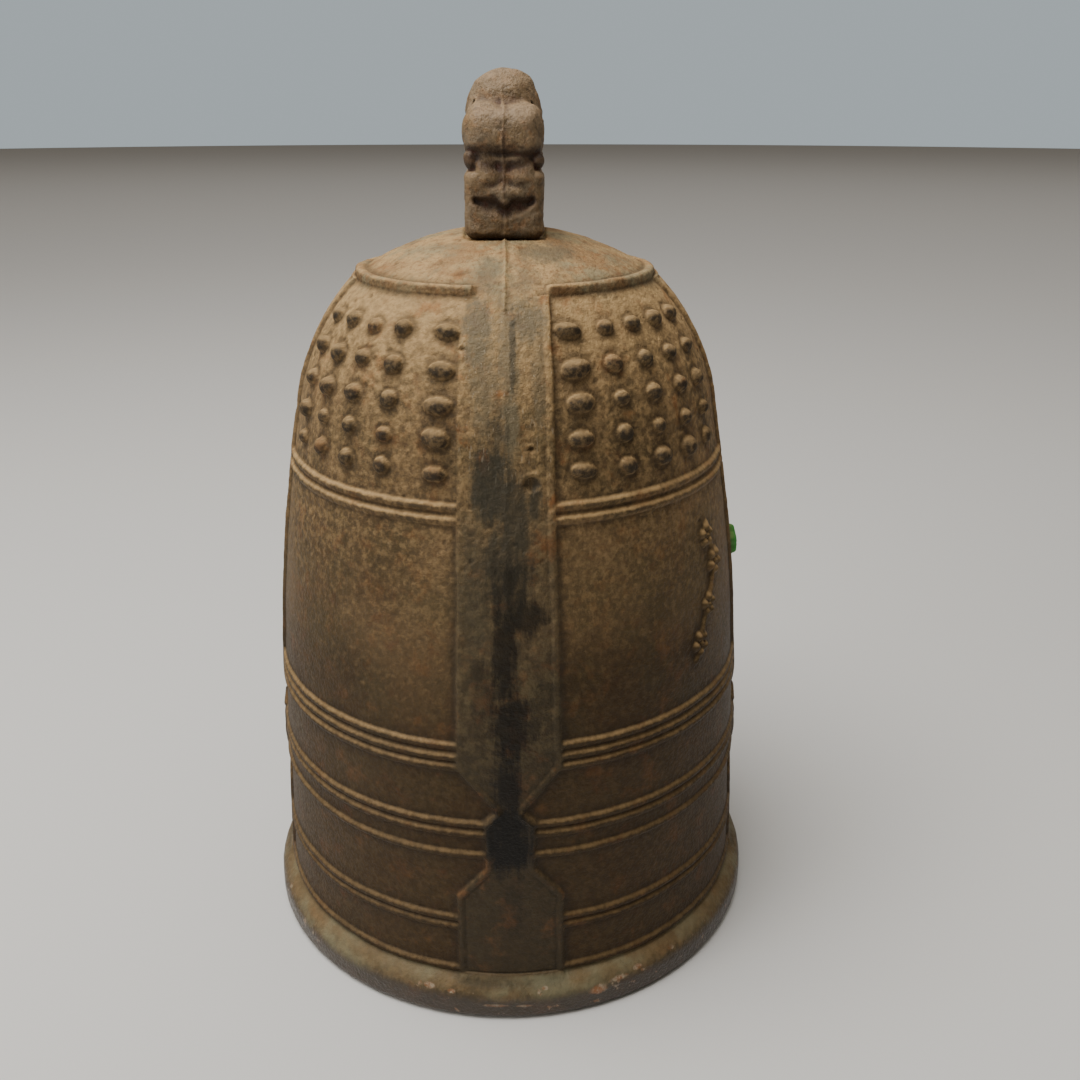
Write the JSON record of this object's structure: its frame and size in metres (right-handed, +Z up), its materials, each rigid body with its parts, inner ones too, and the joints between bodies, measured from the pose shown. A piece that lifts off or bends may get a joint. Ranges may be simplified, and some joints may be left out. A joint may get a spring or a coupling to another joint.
{
  "type": "temple bell",
  "caption": "Small cast-iron temple bell with a flared rim, studded upper field, raised straps and a dragon hanger with a round eye.",
  "frame": {"origin": "centre of the rim's underside, on the surface that the bell stands on", "axes": "+Z up along the bell's axis; the dragon hanger's two heads face -Y and +Y, and its eye runs along X through the striking seats' sides"},
  "size_m": [0.135, 0.135, 0.2167],
  "materials": {
    "bell_iron": "sand-cast, rusted, dusty brown",
    "hanger_iron": "smooth cast, dark brown patina",
    "fixing_steel": "plain steel, lightly rusted"
  },
  "bodies": {
    "root": {"bell_body": "bell_iron", "dragon_hanger": "hanger_iron", "front_stud": "fixing_steel", "rear_stud": "fixing_steel", "front_washer": "fixing_steel", "rear_washer": "fixing_steel", "front_nut": "fixing_steel", "rear_nut": "fixing_steel"}
  },
  "joints": []
}
